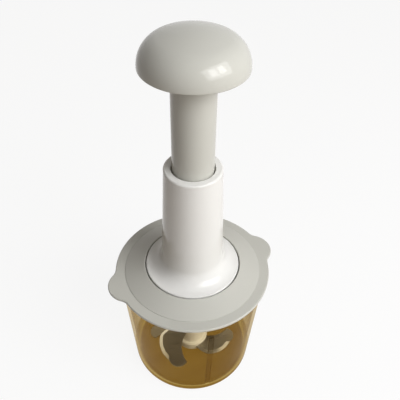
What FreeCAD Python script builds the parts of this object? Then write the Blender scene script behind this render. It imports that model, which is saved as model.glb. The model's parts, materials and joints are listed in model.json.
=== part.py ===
import FreeCAD, Part
import math
import os
import Sketcher
from FreeCAD import Placement, Rotation, Vector

# Hand press food chopper. Origin at the centre of the bowl's underside, +Z up,
# the lid's two lift tabs along +X and -X. All lengths are millimetres.

SIZES = {
    # Bowl: clear cup, widening upwards, with two inner ribs and a central boss
    "bowl_height": 100.5,
    "bowl_base_radius": 50.1,
    "bowl_rim_radius": 56.7,
    "bowl_wall": 2.2,
    "bowl_floor": 2.5,
    "bowl_corner": 5.0,
    "bowl_rib_width": 4.0,
    "bowl_rib_depth": 1.8,
    "bowl_rib_top": 80.0,
    "bowl_rib_angle": 4.5,
    "boss_radius": 8.0,
    "boss_rise": 2.5,
    # Steel centre pin that the blade unit spins on
    "pin_radius": 3.0,
    "pin_reach": 20.0,
    "pin_sink": 3.6,
    "pin_chamfer": 0.8,
    # Blade unit: moulded hub with two S-shaped steel blades set about square to each other
    "hub_foot_radius": 13.5,
    "hub_foot_height": 7.5,
    "hub_radius": 10.8,
    "hub_neck_radius": 8.6,
    "hub_waist": 40.0,
    "hub_clear": 7.8,
    "hub_head_height": 16.0,
    "socket_depth": 15.0,
    "blade_thickness": 1.2,
    "blade_ring_radius": 8.4,
    "blade_ring_bore": 5.4,
    "lower_blade_reach": 35.0,
    "lower_blade_rise": 4.0,
    "lower_blade_angle": 270.0,
    "upper_blade_reach": 40.0,
    "upper_blade_rise": 18.0,
    "upper_blade_angle": 165.0,
    "blade_sweep_angle": 78.0,
    "blade_root_front_angle": 35.0,
    "blade_root_back_angle": 62.0,
    "blade_bevel": 2.6,
    "blade_edge": 0.3,
    # Lid: flange with two lift tabs, raised band, well for the handle, plug skirt
    "lid_radius": 60.0,
    "lid_edge": 2.5,
    "lid_round": 0.9,
    "tab_proud": 7.3,
    "tab_round": 15.5,
    "tab_blend": 10.0,
    "band_radius": 52.4,
    "band_ledge": 0.4,
    "band_rise": 6.0,
    "well_round": 0.7,
    "lid_wall": 2.2,
    "seat_rise": 1.0,
    "skirt_depth": 8.0,
    "skirt_wall": 3.0,
    "skirt_gap": 0.5,
    "seal_height": 3.2,
    "seal_depth": 1.5,
    "seal_gap": 0.15,
    "seal_lip": 0.9,
    # Handle column: white moulding with a flared foot
    "column_top_radius": 20.0,
    "column_foot_radius": 23.2,
    "column_wall": 2.8,
    "column_roof": 3.0,
    "column_edge": 1.5,
    "foot_radius": 35.8,
    "foot_edge": 0.7,
    "foot_proud": 0.4,
    "foot_gap": 0.9,
    "guide_width": 3.0,
    "guide_depth": 1.5,
    # Plunger tube and the parts that guide it
    "tube_radius": 14.2,
    "tube_wall": 2.2,
    "tube_gap": 0.8,
    "stroke": 66.0,
    "finger_gap": 5.9,
    "bush_height": 4.0,
    "bush_gap": 0.25,
    "collar_height": 5.0,
    "collar_lip": 1.5,
    "collar_gap": 0.4,
    "spigot_ledge": 1.0,
    "tube_flange_radius": 17.5,
    "tube_flange": 2.5,
    "nut_ledge": 1.0,
    # Knob: domed shell closed underneath by a screwed plate
    "knob_radius": 32.7,
    "knob_height": 21.2,
    "knob_shoulder": 17.5,
    "knob_side": 1.2,
    "knob_lip": 0.8,
    "knob_wall": 2.6,
    "knob_plate": 2.3,
    "knob_plate_rise": 2.0,
    # Spiral drive: two-start spindle turned by a nut in the tube
    "spiral_lead": 44.0,
    "spiral_starts": 2,
    "spiral_core": 3.0,
    "spiral_radius": 4.5,
    "spiral_width": 7.0,
    "spiral_taper": 1.2,
    "spiral_gap": 0.3,
    "nut_height": 8.0,
    "nut_rise": 22.0,
    "nut_key": 0.8,
    "nut_key_width": 3.0,
    "spindle_overrun": 3.0,
    "spindle_tip": 2.0,
    # Clutch housing, bearings and one-way clutch in the column's foot
    "base_plate": 2.5,
    "plate_boss_radius": 8.5,
    "plate_boss_rise": 2.5,
    "plate_rim": 1.6,
    "plate_rim_rise": 1.5,
    "housing_radius": 16.5,
    "housing_wall": 2.0,
    "housing_roof": 2.5,
    "journal_radius": 4.6,
    "journal_gap": 0.05,
    "bush_radius": 6.2,
    "washer_radius": 8.2,
    "washer_thickness": 0.8,
    "flange_thickness": 3.2,
    "cup_radius": 13.2,
    "cup_floor": 2.0,
    "cup_depth": 4.6,
    "cup_gap": 0.4,
    "tooth_root": 11.4,
    "tooth_tip": 9.7,
    "tooth_count": 10,
    "rotor_radius": 6.6,
    "rotor_thickness": 4.0,
    "rotor_gap": 0.3,
    "pawl_count": 5,
    "square_side": 6.4,
    "pilot_radius": 2.4,
    "pilot_depth": 1.4,
    "hex_flats": 7.2,
    "hex_clear": 2.0,
    "hex_gap": 0.3,
    "shaft_seal_radius": 8.0,
    "shaft_seal_gap": 0.1,
    "shaft_seal_rim": 1.5,
    # Return spring round the spindle
    "wire_radius": 0.7,
    "spring_radius": 9.4,
    "spring_coils": 10,
    # Fasteners and small clearances
    "screw_radius": 1.5,
    "screw_head_radius": 2.8,
    "screw_head": 1.8,
    "screw_length": 7.4,
    "screw_slot_width": 0.8,
    "screw_slot_depth": 0.9,
    "screw_circle": 27.0,
    "screw_count": 3,
    "screw_boss_radius": 3.8,
    "knob_screw_circle": 22.0,
    "boss_cover": 0.8,
    "press_gap": 0.02,
    "fit_gap": 0.1,
    "slide_gap": 0.3,
}

doc = FreeCAD.newDocument("press_chopper")
sheet = doc.addObject("Spreadsheet::Sheet", "Sizes")
for line, (alias, number) in enumerate(SIZES.items(), 1):
    sheet.set(f"A{line}", alias.replace("_", " "))
    sheet.set(f"B{line}", str(number))
    sheet.setAlias(f"B{line}", alias)
doc.recompute()


# Two points closer than this are one
SAME_PLACE = 0.001


class Size:
    """A length that carries both its number and the sheet formula that gives it."""

    def __init__(self, number, formula):
        self.number = number
        self.formula = formula

    def joined(self, sign, number, other, swapped=False):
        first, second = text(self), text(other)
        if swapped:
            first, second = second, first
        return Size(number, f"({first} {sign} {second})")

    def __add__(self, other):
        return self.joined("+", self.number + value(other), other)

    def __radd__(self, other):
        return self.joined("+", self.number + value(other), other, swapped=True)

    def __sub__(self, other):
        return self.joined("-", self.number - value(other), other)

    def __rsub__(self, other):
        return self.joined("-", value(other) - self.number, other, swapped=True)

    def __mul__(self, other):
        return self.joined("*", self.number * value(other), other)

    def __rmul__(self, other):
        return self.joined("*", self.number * value(other), other, swapped=True)

    def __truediv__(self, other):
        return self.joined("/", self.number / value(other), other)

    def __neg__(self):
        return Size(-self.number, f"(0 - {self.formula})")


def value(size):
    return size.number if isinstance(size, Size) else size


def text(size):
    return size.formula if isinstance(size, Size) else repr(size)


def root(size):
    """Square root of a size."""
    return Size(math.sqrt(size.number), f"sqrt({size.formula})")


def cell(alias):
    """The size kept in the sheet under this alias."""
    return Size(SIZES[alias], f"Sizes.{alias}")


def around(radius, degrees):
    """Point at a radius and an angle about the vertical axis."""
    turn = math.radians(degrees)
    return radius * math.cos(turn), radius * math.sin(turn)


def new_body(label):
    body = doc.addObject("PartDesign::Body", label)
    body.Label = label
    return body


def origin_feature(body, role):
    return next(item for item in body.Origin.OriginFeatures if item.Role == role)


def new_sketch(body, name, plane, rise=None):
    """Sketch on one of the body's own origin planes, raised by a size if given."""
    sketch = body.newObject("Sketcher::SketchObject", f"{body.Name}_{name}_sketch")
    sketch.AttachmentSupport = [(origin_feature(body, plane), "")]
    sketch.MapMode = "FlatFace"
    if rise is not None:
        sketch.AttachmentOffset = Placement(Vector(0, 0, value(rise)), Rotation())
        sketch.setExpression("AttachmentOffset.Base.z", text(rise))
    return sketch


def fix(sketch, kind, where, size):
    """Add one dimension to the sketch and bind it to its formula."""
    index = sketch.addConstraint(Sketcher.Constraint(kind, *where, value(size)))
    if isinstance(size, Size):
        sketch.setExpression(f"Constraints[{index}]", size.formula)


def pin_point(sketch, edge, end, across, up):
    """Hold one end of an edge at its distances from the sketch's axes."""
    for kind, size, axis in (("DistanceX", across, -2), ("DistanceY", up, -1)):
        if value(size) == 0:
            sketch.addConstraint(Sketcher.Constraint("PointOnObject", edge, end, axis))
        else:
            fix(sketch, kind, (edge, end), size)


def outline(sketch, corners):
    """Closed outline. A corner is (across, up), or (across, up, radius) where an arc runs
    from it to the next corner, turning left for a positive radius and right for a negative one."""
    edges = []
    for corner, following in zip(corners, corners[1:] + corners[:1]):
        start = Vector(value(corner[0]), value(corner[1]), 0)
        end = Vector(value(following[0]), value(following[1]), 0)
        if len(corner) == 2:
            edges.append((sketch.addGeometry(Part.LineSegment(start, end)), 1, 2))
            continue
        bend = value(corner[2])
        chord = end - start
        height = math.sqrt(bend * bend - chord.Length ** 2 / 4)
        left = Vector(-chord.y, chord.x, 0).normalize()
        centre = (start + end) * 0.5 + left * math.copysign(height, bend)
        turns = [math.atan2(point.y - centre.y, point.x - centre.x) for point in (start, end)]
        if bend < 0:
            turns.reverse()
        circle = Part.Circle(centre, Vector(0, 0, 1), abs(bend))
        arc = sketch.addGeometry(Part.ArcOfCircle(circle, *turns))
        edges.append((arc, 1, 2) if bend > 0 else (arc, 2, 1))
    for (edge, _, end), (following, start, _) in zip(edges, edges[1:] + edges[:1]):
        sketch.addConstraint(Sketcher.Constraint("Coincident", edge, end, following, start))
    for (edge, start, _), corner in zip(edges, corners):
        pin_point(sketch, edge, start, corner[0], corner[1])
        if len(corner) == 3:
            size = corner[2] if value(corner[2]) > 0 else -corner[2]
            fix(sketch, "Radius", (edge,), size)


def circles(sketch, across, up, radius):
    """One circle at its distances from the sketch's axes."""
    centre = Vector(value(across), value(up), 0)
    edge = sketch.addGeometry(Part.Circle(centre, Vector(0, 0, 1), value(radius)))
    pin_point(sketch, edge, 3, across, up)
    fix(sketch, "Radius", (edge,), radius)


def turned(body, name, corners, cut=False):
    """Turn an outline of (radius, height) corners about the vertical axis, added or cut away."""
    sketch = new_sketch(body, name, "XZ_Plane")
    outline(sketch, corners)
    kind = "PartDesign::Groove" if cut else "PartDesign::Revolution"
    feature = body.newObject(kind, f"{body.Name}_{name}")
    feature.Profile = sketch
    feature.ReferenceAxis = (sketch, ["V_Axis"])
    feature.Angle = 360
    return feature


def ring(body, name, outer, inner, low, high, cut=False):
    """A plain turned ring, or a disc where inner is zero."""
    return turned(body, name, [(inner, low), (outer, low), (outer, high), (inner, high)], cut)


def raised(body, name, draw, low, height, cut=False):
    """Pad upwards, or pocket upwards, what draw puts in a level sketch at height low."""
    sketch = new_sketch(body, name, "XY_Plane", low)
    draw(sketch)
    kind = "PartDesign::Pocket" if cut else "PartDesign::Pad"
    feature = body.newObject(kind, f"{body.Name}_{name}")
    feature.Profile = sketch
    feature.Length = value(height)
    feature.setExpression("Length", text(height))
    feature.Reversed = cut
    return feature


def repeated(body, name, features, count):
    """Repeat features evenly about the vertical axis."""
    feature = body.newObject("PartDesign::PolarPattern", f"{body.Name}_{name}")
    feature.Originals = features
    feature.Axis = (origin_feature(body, "Z_Axis"), [""])
    feature.Angle = 360
    feature.Occurrences = int(value(count))
    if isinstance(count, Size):
        feature.setExpression("Occurrences", count.formula)
    body.Tip = feature
    return feature


def hexagon(flats):
    """Corners of a hexagon, given its size across flats."""
    corner = flats / math.sqrt(3)
    return [around(corner, 60 * side) for side in range(6)]


def square(side):
    """Corners of a square about the axis."""
    half = side / 2
    return [(-half, -half), (half, -half), (half, half), (-half, half)]


# Heights that the pieces share, each worked up from the one below it

wall = cell("bowl_wall")
rim = cell("bowl_height")
boss_top = cell("bowl_floor") + cell("boss_rise")
lid_top = rim + cell("lid_edge")
band_top = lid_top + cell("band_rise")
seat = lid_top + cell("seat_rise")
lid_under = seat - cell("lid_wall")
hub_top = lid_under - cell("hub_clear")
plate_top = seat + cell("base_plate")
washer_low = plate_top + cell("plate_boss_rise")
cup_low = washer_low + cell("washer_thickness")
cup_inside = cup_low + cell("cup_floor")
cup_top = cup_inside + cell("cup_depth")
flange_low = cup_top + cell("cup_gap")
upper_washer_low = flange_low + cell("flange_thickness")
roof_inside = upper_washer_low + cell("washer_thickness")
housing_top = roof_inside + cell("housing_roof")
collar_low = housing_top + cell("stroke")
bush_low = collar_low + cell("collar_height")
roof = bush_low + cell("bush_height")
column_top = roof + cell("column_roof")
tube_low = collar_low + cell("collar_lip")
nut_low = collar_low + cell("nut_rise")
nut_top = nut_low + cell("nut_height")
spiral_low = housing_top + cell("slide_gap") + cell("spiral_width") / 2
spindle_top = nut_top + cell("spindle_overrun")
knob_rim = column_top + cell("stroke") + cell("finger_gap")
knob_top = knob_rim + cell("knob_height")
plate_low = knob_rim + cell("knob_plate_rise")
tube_seat = plate_low + cell("knob_plate")
tube_top = tube_seat + cell("tube_flange")
shelf = band_top + cell("foot_proud")
flare = cell("foot_radius") - cell("column_foot_radius")
flare_top = shelf + flare

# Radii that several pieces share

bore = cell("journal_radius") + cell("journal_gap")
cavity = cell("column_top_radius") - cell("column_wall")
tube_bore = cell("tube_radius") - cell("tube_wall")
inner_corner = cell("bowl_corner") - wall
taper_low = cell("bowl_floor") + inner_corner


def bowl_inside(height):
    """Inner radius of the tapered bowl wall at a height above its corner."""
    slope = (cell("bowl_rim_radius") - cell("bowl_base_radius")) / (rim - taper_low)
    return cell("bowl_base_radius") - wall + slope * (height - taper_low)


def bowl():
    body = new_body("bowl")
    base = cell("bowl_base_radius")
    corner = cell("bowl_corner")
    floor = cell("bowl_floor")
    turned(body, "cup", [
        (0, 0),
        (base - corner, 0, corner),
        (base, corner),
        (cell("bowl_rim_radius"), rim),
        (cell("bowl_rim_radius") - wall, rim),
        (base - wall, taper_low, -inner_corner),
        (base - wall - inner_corner, floor),
        (cell("boss_radius"), floor),
        (cell("boss_radius"), boss_top),
        (cell("pin_radius") + cell("press_gap"), boss_top),
        (cell("pin_radius") + cell("press_gap"), boss_top - cell("pin_sink")),
        (0, boss_top - cell("pin_sink")),
    ])
    sketch = new_sketch(body, "rib", "YZ_Plane")
    turn = Rotation(Vector(0, 1, 0), -SIZES["bowl_rib_angle"])
    sketch.AttachmentOffset = Placement(Vector(), turn)
    rib_high = cell("bowl_rib_top")
    depth = cell("bowl_rib_depth")
    outline(sketch, [
        (base - wall - depth, floor),
        (base - wall / 2, floor),
        (bowl_inside(rib_high) + wall / 2, rib_high),
        (bowl_inside(rib_high), rib_high),
        (bowl_inside(rib_high - 2 * depth) - depth, rib_high - 2 * depth),
        (bowl_inside(taper_low) - depth, taper_low),
    ])
    rib = body.newObject("PartDesign::Pad", "bowl_rib")
    rib.Profile = sketch
    rib.SideType = "Symmetric"
    rib.Length = SIZES["bowl_rib_width"]
    rib.setExpression("Length", "Sizes.bowl_rib_width")
    repeated(body, "ribs", [rib], 2)
    return body


def blade_pin():
    body = new_body("blade_pin")
    radius = cell("pin_radius")
    chamfer = cell("pin_chamfer")
    low = boss_top - cell("pin_sink")
    top = boss_top + cell("pin_reach")
    turned(body, "pin", [
        (0, low),
        (radius, low),
        (radius, top - chamfer),
        (radius - chamfer, top),
        (0, top),
    ])
    return body


def edges_at(shape, place):
    """Names of the level edges that meet at a point."""
    corner = Vector(*[value(size) for size in place])
    names = []
    for index, edge in enumerate(shape.Edges, 1):
        ends = [vertex.Point for vertex in edge.Vertexes]
        level = all(abs(end.z - corner.z) < SAME_PLACE for end in ends)
        if level and any((end - corner).Length < SAME_PLACE for end in ends):
            names.append(f"Edge{index}")
    return names


def blade(label, rise, reach, start):
    """An S-shaped blade: a ring in the hub and two wings swept back from the way it turns,
    with a ground bevel along each leading edge."""
    body = new_body(label)
    low = boss_top + rise
    thick = cell("blade_thickness")
    ring_outer = cell("blade_ring_radius")
    ring_inner = cell("blade_ring_bore")
    ring(body, "ring", ring_outer, ring_inner, low, low + thick)
    sweep = SIZES["blade_sweep_angle"]
    root_share = 0.4
    shoulder_share, shoulder_sweep_share = 0.72, 0.18
    tip_sweep_share = 0.72
    heel_share = 0.93
    front_bend, shoulder_bend, tip_bend, back_bend = 0.9, 0.62, 0.2, 0.62
    rooted = ring_inner + root_share * (ring_outer - ring_inner)
    root_front = around(rooted, start - SIZES["blade_root_front_angle"])
    shoulder = around(reach * shoulder_share, start + shoulder_sweep_share * sweep)
    tip_front = around(reach, start + tip_sweep_share * sweep)
    tip_back = around(reach * heel_share, start + sweep)
    root_back = around(rooted, start + SIZES["blade_root_back_angle"])
    wing = raised(body, "wing", lambda sketch: outline(sketch, [
        (*root_front, reach * front_bend),
        (*shoulder, reach * shoulder_bend),
        (*tip_front, reach * tip_bend),
        (*tip_back, -reach * back_bend),
        root_back,
    ]), low, thick)
    doc.recompute()
    bevel = body.newObject("PartDesign::Chamfer", f"{label}_bevel")
    bevel.Base = (wing, edges_at(wing.Shape, (*shoulder, low + thick)))
    bevel.ChamferType = "Two distances"
    bevel.FlipDirection = True
    bevel.Size = SIZES["blade_bevel"]
    bevel.Size2 = SIZES["blade_thickness"] - SIZES["blade_edge"]
    bevel.setExpression("Size", "Sizes.blade_bevel")
    bevel.setExpression("Size2", "Sizes.blade_thickness - Sizes.blade_edge")
    repeated(body, "wings", [wing, bevel], 2)
    return body


def blade_hub(blades):
    """Tower moulded round both blades: pin bore below, hexagonal drive socket on top."""
    body = new_body("hub_moulding")
    neck = cell("hub_neck_radius")
    waist = boss_top + cell("hub_waist")
    head = hub_top - cell("hub_head_height")
    pin_bore = cell("pin_radius") + cell("journal_gap")
    edge = cell("pin_chamfer")
    foot_top = boss_top + cell("hub_foot_height")
    turned(body, "tower", [
        (pin_bore, boss_top),
        (cell("hub_foot_radius"), boss_top),
        (cell("hub_foot_radius"), foot_top - edge),
        (cell("hub_foot_radius") - edge, foot_top),
        (cell("hub_radius"), foot_top),
        (cell("hub_radius"), waist),
        (neck, waist + cell("hub_radius")),
        (neck, head - edge),
        (neck + edge, head),
        (neck + edge, hub_top - edge),
        (neck, hub_top),
        (0, hub_top),
        (0, boss_top + cell("pin_reach") + edge),
        (pin_bore, boss_top + cell("pin_reach") + edge),
    ])
    corners = hexagon(cell("hex_flats") + 2 * cell("hex_gap"))
    depth = cell("socket_depth")
    socket = raised(body, "socket", lambda sketch: outline(sketch, corners), hub_top - depth, depth, cut=True)
    body.Tip = socket
    first = doc.addObject("Part::Cut", "hub_with_one_slot")
    first.Base = body
    first.Tool = blades[0]
    hub = doc.addObject("Part::Cut", "blade_hub")
    hub.Base = first
    hub.Tool = blades[1]
    hub.Label = "blade_hub"
    return hub


def lid():
    """Flange with two lift tabs, raised band round the handle's well, and plug skirt."""
    body = new_body("lid")
    raised(body, "disc", lambda sketch: circles(sketch, 0, 0, cell("lid_radius")), rim, cell("lid_edge"))
    tab = cell("tab_round")
    out = cell("lid_radius") + cell("tab_proud") - tab
    tabs = raised(body, "tab", lambda sketch: circles(sketch, out, 0, tab), rim, cell("lid_edge"))
    pair = repeated(body, "tabs", [tabs], 2)
    doc.recompute()
    blend = body.newObject("PartDesign::Fillet", "lid_tab_blends")
    blend.Base = (pair, upright_edges(pair.Shape, rim, lid_top))
    blend.Radius = SIZES["tab_blend"]
    blend.setExpression("Radius", "Sizes.tab_blend")
    doc.recompute()
    edge = body.newObject("PartDesign::Fillet", "lid_round")
    edge.Base = (blend, level_edges(blend.Shape, lid_top) + level_edges(blend.Shape, rim))
    edge.Radius = SIZES["lid_round"]
    edge.setExpression("Radius", "Sizes.lid_round")
    well = cell("foot_radius") + cell("foot_gap")
    thick = cell("lid_wall")
    lip = cell("well_round")
    skirt_out = bowl_inside(rim - cell("skirt_depth")) - cell("skirt_gap")
    skirt_in = skirt_out - cell("skirt_wall")
    skirt_low = rim - cell("skirt_depth")
    seal_low = (rim + skirt_low - cell("seal_height")) / 2
    seal_high = seal_low + cell("seal_height")
    band = cell("band_radius")
    ring(body, "centre", band, 0, rim, lid_top, cut=True)
    turned(body, "dish", [
        (cell("shaft_seal_radius"), lid_under),
        (well + thick, lid_under),
        (well + thick, band_top - thick),
        (skirt_in, rim),
        (skirt_in, skirt_low),
        (skirt_out, skirt_low),
        (skirt_out, seal_low),
        (skirt_out - cell("seal_depth"), seal_low),
        (skirt_out - cell("seal_depth"), seal_high),
        (skirt_out, seal_high),
        (skirt_out, rim),
        (band + thick, rim),
        (band + thick, lid_top),
        (band, lid_top),
        (band, lid_top + cell("band_ledge")),
        (well + lip, band_top, lip),
        (well, band_top - lip),
        (well, seat),
        (cell("shaft_seal_radius"), seat),
    ])
    add_screw_holes(body, lid_under, thick, cell("screw_circle"))
    return body


def upright_edges(shape, low, high):
    """Names of the straight upright edges between two heights."""
    names = []
    for index, edge in enumerate(shape.Edges, 1):
        ends = [vertex.Point for vertex in edge.Vertexes]
        if len(ends) != 2:
            continue
        along = ends[0] - ends[1]
        upright = abs(along.x) < SAME_PLACE and abs(along.y) < SAME_PLACE
        if upright and abs(abs(along.z) - value(high - low)) < SAME_PLACE:
            names.append(f"Edge{index}")
    return names


def level_edges(shape, height):
    """Names of all the edges that lie in one level plane."""
    return [
        f"Edge{index}"
        for index, edge in enumerate(shape.Edges, 1)
        if all(abs(vertex.Point.z - value(height)) < SAME_PLACE for vertex in edge.Vertexes)
    ]


def add_screw_holes(body, low, height, circle):
    """Ring of plain screw holes through a flat wall."""
    radius = cell("screw_radius") + cell("fit_gap")
    draw = lambda sketch: circles(sketch, circle, 0, radius)
    hole = raised(body, "screw_hole", draw, low, height, cut=True)
    return repeated(body, "screw_holes", [hole], cell("screw_count"))


def lid_seal():
    """Soft ring in the skirt's groove, with one thin lip that wipes the bowl's wall."""
    body = new_body("lid_seal")
    skirt_low = rim - cell("skirt_depth")
    skirt_out = bowl_inside(skirt_low) - cell("skirt_gap")
    low = (rim + skirt_low - cell("seal_height")) / 2
    high = low + cell("seal_height")
    lip = cell("seal_lip")
    reach = bowl_inside(low) - cell("seal_gap")
    turned(body, "ring", [
        (skirt_out - cell("seal_depth"), low),
        (skirt_out, low),
        (reach, high - 2 * lip),
        (reach, high - lip),
        (skirt_out, high),
        (skirt_out - cell("seal_depth"), high),
    ])
    return body


def squared(size):
    return size * size


def screw_bosses(body, circle, radius, low, height, tip):
    """Round posts inside a shell, each with a hole that its screw cuts its thread in."""
    post = raised(body, "post", lambda sketch: circles(sketch, circle, 0, radius), low, height)
    hole_radius = cell("screw_radius") + cell("press_gap")
    depth = tip - low + cell("slide_gap")
    hole = raised(body, "hole", lambda sketch: circles(sketch, circle, 0, hole_radius), low, depth, cut=True)
    return repeated(body, "posts", [post, hole], cell("screw_count"))


def handle_column():
    """White tapered column on a flared foot, hollow, with two guide ribs for the plunger."""
    body = new_body("handle_column")
    foot = cell("foot_radius")
    thick = cell("column_wall")
    edge = cell("column_edge")
    lip = cell("foot_edge")
    hole = cell("tube_radius") + cell("tube_gap")
    top_radius = cell("column_top_radius")
    turned(body, "shell", [
        (foot - thick, seat),
        (foot, seat),
        (foot, shelf - lip, lip),
        (foot - lip, flare_top - root(squared(flare) - squared(lip)), -flare),
        (foot - flare, flare_top),
        (top_radius, column_top - edge, edge),
        (top_radius - edge, column_top),
        (hole, column_top),
        (hole, roof),
        (cavity, roof),
        (cavity, flare_top),
        (foot - flare - thick, flare_top, flare + thick),
        (foot - thick, flare_top - root(squared(flare + thick) - squared(thick))),
    ])
    circle = cell("screw_circle")
    boss = cell("screw_boss_radius")
    surface = flare_top - root(squared(flare) - squared(foot - circle - boss))
    tip = lid_under + cell("screw_length")
    screw_bosses(body, circle, boss, plate_top, surface - cell("boss_cover") - plate_top, tip)
    guide_low = housing_top + cell("slide_gap")
    half = cell("guide_width") / 2
    guide = raised(body, "guide", lambda sketch: outline(sketch, [
        (cavity - cell("guide_depth"), -half),
        (cavity + cell("guide_depth"), -half),
        (cavity + cell("guide_depth"), half),
        (cavity - cell("guide_depth"), half),
    ]), guide_low, bush_low - guide_low)
    repeated(body, "guides", [guide], 2)
    return body


def base_plate():
    """Closes the column's foot: carries the shaft bush and locates the clutch housing."""
    body = new_body("base_plate")
    hole = cell("bush_radius") + cell("press_gap")
    rim_inside = cell("housing_radius") + cell("press_gap")
    rim_outside = rim_inside + cell("plate_rim")
    rim_top = plate_top + cell("plate_rim_rise")
    edge = cell("foot_radius") - cell("column_wall") - cell("fit_gap")
    turned(body, "plate", [
        (hole, seat),
        (edge, seat),
        (edge, plate_top),
        (rim_outside, plate_top),
        (rim_outside, rim_top),
        (rim_inside, rim_top),
        (rim_inside, plate_top),
        (cell("plate_boss_radius"), plate_top),
        (cell("plate_boss_radius"), washer_low),
        (hole, washer_low),
    ])
    add_screw_holes(body, seat, cell("base_plate"), cell("screw_circle"))
    return body


def screws(label, head_low, circle):
    """Set of equal slotted screws pointing up, their heads below the piece they hold."""
    body = new_body(label)
    body.AllowCompound = True
    head = cell("screw_head")
    head_radius = cell("screw_head_radius")
    radius = cell("screw_radius")
    length = cell("screw_length")
    slot_half = cell("screw_slot_width") / 2
    reach = head_radius * 2
    parts = [
        raised(body, "head", lambda sketch: circles(sketch, circle, 0, head_radius), head_low, head),
        raised(body, "shank", lambda sketch: circles(sketch, circle, 0, radius), head_low + head, length),
        raised(body, "slot", lambda sketch: outline(sketch, [
            (circle - reach, -slot_half),
            (circle + reach, -slot_half),
            (circle + reach, slot_half),
            (circle - reach, slot_half),
        ]), head_low, cell("screw_slot_depth"), cut=True),
    ]
    repeated(body, "set", parts, cell("screw_count"))
    return body


def top_bush():
    """Guide bush under the column's roof that keeps the tube central and stops the collar."""
    body = new_body("top_bush")
    ring(body, "ring", cavity - cell("press_gap"), cell("tube_radius") + cell("bush_gap"), bush_low, roof)
    return body


def plunger_tube():
    """Tube from the knob into the column, with a shoulder and two keyways for the nut."""
    body = new_body("plunger_tube")
    outer = cell("tube_radius")
    spigot = outer - cell("spigot_ledge")
    turned(body, "wall", [
        (tube_bore, tube_low),
        (spigot, tube_low),
        (spigot, bush_low),
        (outer, bush_low),
        (outer, tube_seat),
        (cell("tube_flange_radius"), tube_seat),
        (cell("tube_flange_radius"), tube_top),
        (tube_bore - cell("nut_ledge"), tube_top),
        (tube_bore - cell("nut_ledge"), nut_top),
        (tube_bore, nut_top),
    ])
    half = cell("nut_key_width") / 2 + cell("fit_gap")
    slot = raised(body, "keyway", lambda sketch: outline(sketch, [
        (tube_bore - cell("nut_key"), -half),
        (tube_bore + cell("nut_key") + cell("fit_gap"), -half),
        (tube_bore + cell("nut_key") + cell("fit_gap"), half),
        (tube_bore - cell("nut_key"), half),
    ]), tube_low, nut_top - tube_low, cut=True)
    repeated(body, "keyways", [slot], 2)
    return body


def guide_collar():
    """Collar on the tube's lower end: slides in the column, notched over its guide ribs."""
    body = new_body("guide_collar")
    outer = cavity - cell("collar_gap")
    spigot = cell("tube_radius") - cell("spigot_ledge") + cell("press_gap")
    turned(body, "ring", [
        (tube_bore, collar_low),
        (outer, collar_low),
        (outer, bush_low),
        (spigot, bush_low),
        (spigot, tube_low),
        (tube_bore, tube_low),
    ])
    half = cell("guide_width") / 2 + cell("collar_gap")
    inner = cavity - cell("guide_depth") - cell("collar_gap")
    notch = raised(body, "notch", lambda sketch: outline(sketch, [
        (inner, -half),
        (cavity + cell("guide_depth"), -half),
        (cavity + cell("guide_depth"), half),
        (inner, half),
    ]), collar_low, cell("collar_height"), cut=True)
    repeated(body, "notches", [notch], 2)
    return body


def knob_crown():
    """Radius of the knob's crown, tangent to the shoulder, and where the two arcs meet."""
    shoulder = cell("knob_shoulder")
    across = cell("knob_radius") - shoulder
    drop = cell("knob_height") - cell("knob_side")
    crown = (squared(across) - squared(shoulder) + squared(drop)) / (2 * (drop - shoulder))
    share = crown / (crown - shoulder)
    meet = (across * share, knob_top - crown + (crown - drop) * share)
    return crown, meet


def knob_cap():
    """Domed palm knob: an even shell with a clamp ring over the tube's flange."""
    body = new_body("knob_cap")
    thick = cell("knob_wall")
    outer = cell("knob_radius")
    lip = cell("knob_lip")
    shoulder = cell("knob_shoulder")
    side_top = knob_rim + cell("knob_side")
    crown, (meet_across, meet_up) = knob_crown()
    inner_share = (crown - thick) / crown
    crown_centre = knob_top - crown
    turned(body, "dome", [
        (outer - thick, knob_rim),
        (outer - lip, knob_rim, lip),
        (outer, knob_rim + lip),
        (outer, side_top, shoulder),
        (meet_across, meet_up, crown),
        (0, knob_top),
        (0, knob_top - thick, thick - crown),
        (meet_across * inner_share, crown_centre + (meet_up - crown_centre) * inner_share,
         thick - shoulder),
        (outer - thick, side_top),
    ])
    clamp = cell("tube_flange_radius")
    clamp_top = crown_centre + root(squared(crown - thick / 2) - squared(clamp))
    ring(body, "clamp", clamp, cell("tube_radius"), tube_top, clamp_top)
    circle = cell("knob_screw_circle")
    boss = cell("screw_boss_radius")
    surface = side_top + root(squared(shoulder) - squared(circle + boss + shoulder - outer))
    tip = plate_low + cell("screw_length")
    screw_bosses(body, circle, boss, tube_seat, surface - cell("boss_cover") - tube_seat, tip)
    return body


def knob_inside(height):
    """Inner radius of the knob's shoulder at a height."""
    shoulder = cell("knob_shoulder")
    up = height - knob_rim - cell("knob_side")
    return cell("knob_radius") - shoulder + root(squared(shoulder - cell("knob_wall")) - squared(up))


def knob_plate():
    """Plate that closes the knob and traps the tube's flange."""
    body = new_body("knob_plate")
    outer = knob_inside(tube_seat) - cell("fit_gap")
    ring(body, "disc", outer, cell("tube_radius") + cell("fit_gap"), plate_low, tube_seat)
    add_screw_holes(body, plate_low, cell("knob_plate"), cell("knob_screw_circle"))
    return body


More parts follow.
